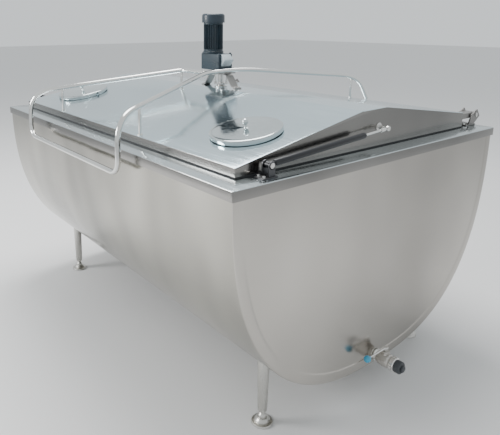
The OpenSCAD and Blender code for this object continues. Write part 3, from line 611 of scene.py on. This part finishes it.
# ---------------------------------------------------------------- gas springs
# A black barrel with a rolled end and a bright rod at each end of the lid. The barrel's eye
# sits on a pin between two plates on the rim, and the rod's eye beside a stud on the lid.
SPRING_X = LID_X + 38
SPRING_FOOT, SPRING_HEAD = Vector((0, -575, 38)), Vector((0, 15, 76))
REACH = (SPRING_HEAD - SPRING_FOOT).length
for side, name in ((1, "outlet"), (-1, "far")):
    base = SPRING_FOOT + Vector((side * SPRING_X, 0, 0))
    along = (SPRING_HEAD - SPRING_FOOT).normalized()
    mesh = bmesh.new()
    block(mesh, (side * SPRING_X - 20, base.y - 42, 0), (side * SPRING_X + 20, base.y + 22, 4), 0.8)
    for dx in (-14, 14):
        block(mesh, (side * SPRING_X + dx - 2.5, base.y - 13, 3.5),
              (side * SPRING_X + dx + 2.5, base.y + 13, 38), 0.8)
        rod(mesh, base + Vector((dx - 2.5, 0, 0)), base + Vector((dx + 2.5, 0, 0)), 13, 0.8)
    piece(f"spring_bracket_{name}", mesh, dark_plate, "tank", ["spring_brackets"])
    mesh = bmesh.new()
    rod(mesh, base - Vector((19, 0, 0)), base + Vector((19, 0, 0)), 4)
    bolt(mesh, base + Vector((side * 16.5, 0, 0)), (side, 0, 0), 13, 2.4)
    for dx in (-11, 11):
        bolt(mesh, (side * SPRING_X + dx, base.y - 30, 4), (0, 0, 1), 10, 5.6)
    piece(f"spring_bolts_{name}", mesh, machined, "tank", ["spring_bracket_bolts"])
    mesh = bmesh.new()
    turned(mesh, base, along,
           [(9, 5), (10, 6), (22, 6), (24, 9), (26, 10.2), (28, 10.5), (452, 10.5), (456, 10.1),
            (459, 9), (460, 7.6), (462, 7.4), (463.6, 6.4), (464, 5.1)], 40)
    turned(mesh, base - Vector((8, 0, 0)), (1, 0, 0),
           [(0, 4.2), (0, 9.2), (0.8, 10), (15.2, 10), (16, 9.2), (16, 4.2)], 32)
    piece(f"spring_barrel_{name}_tube", mesh, black_gloss, f"spring_barrel_{name}",
          [f"gas_spring_{name}"])
    mesh = bmesh.new()
    rod(mesh, base + along * 36, base + along * (REACH - 20), 5)
    turned(mesh, base + along * (REACH - 40), along,
           [(0, 7), (1, 8), (9, 8), (10, 6.8), (12, 6.8), (13, 8), (25, 8), (28, 6)], 32)
    turned(mesh, base + along * REACH - Vector((7, 0, 0)), (1, 0, 0),
           [(0, 3), (0, 9), (1, 10), (13, 10), (14, 9), (14, 3)], 32)
    piece(f"spring_rod_{name}_bar", mesh, bright_tube, f"spring_rod_{name}",
          [f"spring_rod_{name}"])
    mesh = bmesh.new()
    turned(mesh, (side * LID_X, SPRING_HEAD.y, SPRING_HEAD.z), (side, 0, 0),
           [(0, 15.6), (0.8, 16), (3.2, 16), (4, 15), (4.2, 7.4), (5, 7), (29.6, 7), (30.6, 6.2)], 32)
    piece(f"spring_stud_{name}", mesh, machined, "lid", ["spring_studs"])

# ---------------------------------------------------------------- agitator drive
# A bent flat-bar stool stands on the ridge over the shaft seal. It carries a dark cast gearbox
# with a finned motor on top, a wider fan cowl, and a grey cover plate on the gearbox's side.
SHAFT = Vector((*DRIVE, 0))
STAGE = 30.3
MOTOR = SHAFT - Vector((2 * STAGE, 0, 0))
RIDGE_Z, STOOL_Z, GEAR_H, MOTOR_H = 144, 214, 97, 135
MOTOR_Z = STOOL_Z + GEAR_H

mesh = bmesh.new()
block(mesh, SHAFT + Vector((-50, -50, STOOL_Z - 6)), SHAFT + Vector((50, 50, STOOL_Z - 0.2)), 1.2)
for side in (-1, 1):
    leg = bent([SHAFT + Vector((side * dx, 0, z)) for dx, z in
                ((40, STOOL_Z - 8), (62, STOOL_Z - 9), (106, RIDGE_Z + 2.6), (128, RIDGE_Z + 2.6))], [14, 12], 6)
    strap(mesh, leg, 40, 5, (0, 1, 0))
piece("drive_stool_bars", mesh, dull_plate, "lid", ["drive_stool"])

mesh = bmesh.new()
for sx in (-1, 1):
    for sy in (-1, 1):
        bolt(mesh, SHAFT + Vector((sx * 118, sy * 12, RIDGE_Z + 5.1)), (0, 0, 1), 8.6, 3.6)
for k in range(4):
    angle = math.pi / 4 + k * math.pi / 2
    foot = SHAFT + Vector((27 * math.cos(angle), 27 * math.sin(angle), RIDGE_Z + 19))
    rod(mesh, foot, foot + Vector((0, 0, STOOL_Z - RIDGE_Z - 25)), 3, 0.3, 20)
    hexagon(mesh, foot, (0, 0, 1), 9.6, 5)
    hexagon(mesh, foot + Vector((0, 0, STOOL_Z - RIDGE_Z - 31)), (0, 0, 1), 9.6, 5)
piece("drive_fixings", mesh, machined, "lid", ["stool_screws", "seal_studs"])

mesh = bmesh.new()
turned(mesh, SHAFT + Vector((0, 0, RIDGE_Z)), (0, 0, 1),
       [(-24, 16.6), (-24, 23.8), (-0.1, 23.8), (0, 29.6), (0.6, 30), (3.2, 30), (4, 29), (4.3, 19),
        (5, 18), (9, 20), (12, 24),
        (12.2, 32.4), (13, 33), (18.2, 33), (19, 32.2), (19, 12.8), (0, 12.8), (0, 16.6)], 48)
piece("seal_flange", mesh, machined, "lid", ["seal_housing"])

mesh = bmesh.new()
turned(mesh, SHAFT + Vector((0, 0, STOOL_Z)), (0, 0, 1), [(0, 41), (1, 42), (9, 42), (11, 41)], 48)
block(mesh, SHAFT + Vector((-104, -42, STOOL_Z + 10)), SHAFT + Vector((35, 42, MOTOR_Z - 10)), 6)
block(mesh, SHAFT + Vector((-98, -43.5, STOOL_Z + 44)), SHAFT + Vector((29, 43.5, STOOL_Z + 52)), 1.5)
turned(mesh, MOTOR + Vector((0, 0, MOTOR_Z - 11)), (0, 0, 1), [(0, 48), (1.4, 50), (9.6, 50), (11, 48.6)], 48)
for dx in (-96, 27):
    for dy in (-34, 34):
        bolt(mesh, SHAFT + Vector((dx, dy, MOTOR_Z - 10.5)), (0, 0, 1), 8, 4)
piece("gearbox_casting", mesh, slate_enamel, "lid", ["gearbox_case"])

mesh = bmesh.new()
outline = [(35, MOTOR_Z - 11), (35, STOOL_Z + 28), (62, STOOL_Z + 58), (58, STOOL_Z + 64)]
loft(mesh, [[at(*(SHAFT + Vector((x, y, z)))) for x, z in outline] for y in (-28, 28)])
bmesh.ops.bevel(mesh, geom=mesh.edges[:], offset=0.002, segments=3, affect="EDGES", profile=0.6)
piece("gearbox_side_cover", mesh, grey_enamel, "lid", ["terminal_box"])

# The motor: a die-cast barrel with cooling fins between two end shields.
mesh = bmesh.new()
turned(mesh, MOTOR + Vector((0, 0, MOTOR_Z)), (0, 0, 1),
       [(0, 46), (0.8, 47), (8, 47), (9.4, 45.5), (9.8, 41), (MOTOR_H - 9.8, 41), (MOTOR_H - 9.4, 45.5),
        (MOTOR_H - 8, 47), (MOTOR_H - 1, 47), (MOTOR_H, 46)], 56)
fin = [(40, -1.5), (46, -0.8), (46.9, 0), (46, 0.8), (40, 1.5)]
for k in range(28):
    angle = TURN * k / 28
    out, round_it = Vector((math.cos(angle), math.sin(angle), 0)), Vector((-math.sin(angle), math.cos(angle), 0))
    loft(mesh, [[at(*(MOTOR + out * r + round_it * w + Vector((0, 0, z)))) for r, w in fin]
                for z in (MOTOR_Z + 9, MOTOR_Z + MOTOR_H - 9)])
piece("motor_barrel", mesh, slate_enamel, "lid", ["motor_case"])

# The fan cowl: a pressed cup, open below, with eight radial bars set into its top.
mesh = bmesh.new()
turned(mesh, MOTOR + Vector((0, 0, MOTOR_Z + MOTOR_H)), (0, 0, 1),
       [(-0.5, 52), (-0.5, 54.6), (0, 55), (30, 55), (34, 54.4), (38, 52.2), (41, 48.5), (42, 45), (42, 8), (41, 6),
        (41, 0.5), (39, 0.5), (39, 44), (36, 50), (30, 52.4), (0, 52.4)], 64)
for k in range(8):
    angle = TURN * k / 8
    out = Vector((math.cos(angle), math.sin(angle), 0))
    strap(mesh, [MOTOR + out * r + Vector((0, 0, MOTOR_Z + MOTOR_H + 41.1)) for r in (12, 40)], 5, 1.6,
          (-out.y, out.x, 0))
piece("motor_fan_cowl", mesh, cowl_enamel, "lid", ["fan_cowl"])

# ---------------------------------------------------------------- outlet valve
# A short two-way ball valve screwed on the outlet pipe, a bent rod lever with a blue ball knob,
# a slotted dairy union nut and a dark plastic blanking cap.
PIPE_Z = -815
VALVE_X, UNION_X, CAP_X = 973, 1002, 1028
pipe = Vector((0, 0, PIPE_Z))
mesh = bmesh.new()
turned(mesh, pipe + Vector((942, 0, 0)), (1, 0, 0),
       [(0, 15.2), (0, 21.4), (0.8, 22), (6, 22), (7, 20.6), (9, 20.6), (11, 24), (13, 26.4),
        (16, 27), (46, 27), (49, 26.4), (51, 24), (53, 23), (59, 23), (61, 24), (65.4, 24), (66, 23), (66, 15.2)], 48)
turned(mesh, pipe + Vector((VALVE_X, 0, 20)), (0, 0, 1),
       [(0, 15), (7, 15), (7.6, 14.6), (14, 14.6), (16.4, 14), (17, 12.6), (17, 6.4)], 40)
hexagon(mesh, pipe + Vector((VALVE_X, 0, 28)), (0, 0, 1), 31, 6)
for side in (-1, 1):
    block(mesh, (VALVE_X - 12, side * 24 - 3, PIPE_Z - 9), (VALVE_X + 12, side * 24 + 3, PIPE_Z + 9), 1.4)
piece("valve_casting", mesh, cast_steel, "tank", ["valve_body"])

mesh = bmesh.new()
turned(mesh, pipe + Vector((VALVE_X, 0, 21)), (0, 0, 1),
       [(0, 6), (17.2, 6), (17.4, 8.6), (18, 9), (32, 9), (33, 8), (33, 4)], 32)
tube(mesh, bent([(VALVE_X, 0, PIPE_Z + 50), (VALVE_X, -40, PIPE_Z + 50), (VALVE_X, -112, PIPE_Z + 50)], [20]), 3.5)
piece("valve_lever_rod", mesh, machined, "valve_lever", ["valve_lever"])
mesh = bmesh.new()
ball(mesh, (VALVE_X, -116, PIPE_Z + 50), 13.5, 40)
turned(mesh, (VALVE_X, -98, PIPE_Z + 50), (0, -1, 0), [(0, 5.4), (1, 6.2), (7, 7.2), (9, 9)], 32)
piece("valve_lever_knob", mesh, blue_plastic, "valve_lever", ["lever_knob"])

mesh = bmesh.new()
turned(mesh, pipe + Vector((UNION_X + 2, 0, 0)), (1, 0, 0),
       [(4, 24.4), (0, 24.4), (0, 28), (1, 29), (15, 29), (17, 27), (18, 24), (18, 19.4), (4, 19.4)], 56)
for k in range(4):
    angle = k * math.pi / 2
    y, z = math.cos(angle), math.sin(angle)
    strap(mesh, [pipe + Vector((UNION_X + x, 29.4 * y, 29.4 * z)) for x in (5, 18)], 10, 5, (0, -z, y))
piece("union_ring", mesh, machined, "tank", ["union_nut"])
mesh = bmesh.new()
turned(mesh, pipe + Vector((CAP_X - 7, 0, 0)), (1, 0, 0),
       [(-8, 18.2), (0, 18.4), (0, 22), (1.4, 23.8), (20, 24), (23, 22.6), (24.6, 19), (25, 14)], 48)
hexagon(mesh, pipe + Vector((CAP_X + 17.5, 0, 0)), (1, 0, 0), 24, 8.4)
for k in range(20):
    angle = TURN * k / 20
    out = Vector((0, math.cos(angle), math.sin(angle)))
    rib = pipe + out * 23.2
    rod(mesh, rib + Vector((CAP_X - 5, 0, 0)), rib + Vector((CAP_X + 12, 0, 0)), 0.8, 0.3, 8)
piece("blank_cap_ribbed", mesh, dark_plastic, "blank_cap", ["blank_cap"])

# ---------------------------------------------------------------- parts kept as they are
# Plain turned, folded or foamed parts inside the tank, lid and drive, whose shape needs nothing
# more: the milk space, foam, evaporator, pipes, gaskets, collars, bearings and gears.
kept = {
    vessel_sheet: ["inner_vessel", "lid_liner", "evaporator_plate"],
    foam: ["insulation_jacket", "lid_insulation"],
    copper: ["refrigerant_stubs"],
    spun_steel: ["manhole_collars"],
    bright_tube: ["outlet_pipe", "agitator_shaft", "paddles"],
    winding_steel: ["motor_rotor", "gear_countershaft"],
    machined: ["output_bearing", "valve_ball"],
    black_rubber: ["lid_gasket", "shaft_seal"],
    white_rubber: ["cover_gasket_outlet", "cover_gasket_far", "valve_seats"],
}
for material, names in kept.items():
    for name in names:
        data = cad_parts[name].data
        data.materials.clear()
        data.materials.append(material)

# ---------------------------------------------------------------- floor, light and camera
# A plain pale floor and surroundings, one large soft light overhead and one from the front.
bpy.ops.mesh.primitive_plane_add(size=60)
floor = bpy.context.object
floor.name = "floor"
floor.data.materials.append(bpy.data.materials.new("pale floor"))
floor.data.materials[0].use_nodes = True
floor_shader = floor.data.materials[0].node_tree.nodes["Principled BSDF"]
floor_shader.inputs["Base Color"].default_value = (0.72, 0.72, 0.72, 1)
floor_shader.inputs["Roughness"].default_value = 0.8

world = bpy.data.worlds.new("pale room")
bpy.context.scene.world = world
world.use_nodes = True
world.node_tree.nodes["Background"].inputs["Color"].default_value = (0.86, 0.90, 0.92, 1)
world.node_tree.nodes["Background"].inputs["Strength"].default_value = 1.0


def soft_light(name, place, target, size, power):
    lamp = bpy.data.lights.new(name, "AREA")
    lamp.shape = "DISK"
    lamp.size = size
    lamp.energy = power
    made = bpy.data.objects.new(name, lamp)
    made.location = place
    made.rotation_euler = (Vector(target) - Vector(place)).to_track_quat("-Z", "Y").to_euler()
    bpy.context.scene.collection.objects.link(made)


soft_light("overhead", (-1.0, 0.5, 4.6), (0, 0, 0.9), 3.0, 260)
soft_light("front", (-2.6, -4.6, 2.6), (0, 0, 0.5), 2.0, 220)

lens = bpy.data.cameras.new("camera")
lens.lens = 38.37
lens.shift_x = 0.0883
lens.shift_y = -0.1486
camera = bpy.data.objects.new("camera", lens)
camera.location = (1.967, -1.638, 1.4295)
camera.rotation_euler = [math.radians(angle) for angle in (77.123, -0.015, 52.589)]
bpy.context.scene.collection.objects.link(camera)
bpy.context.scene.camera = camera
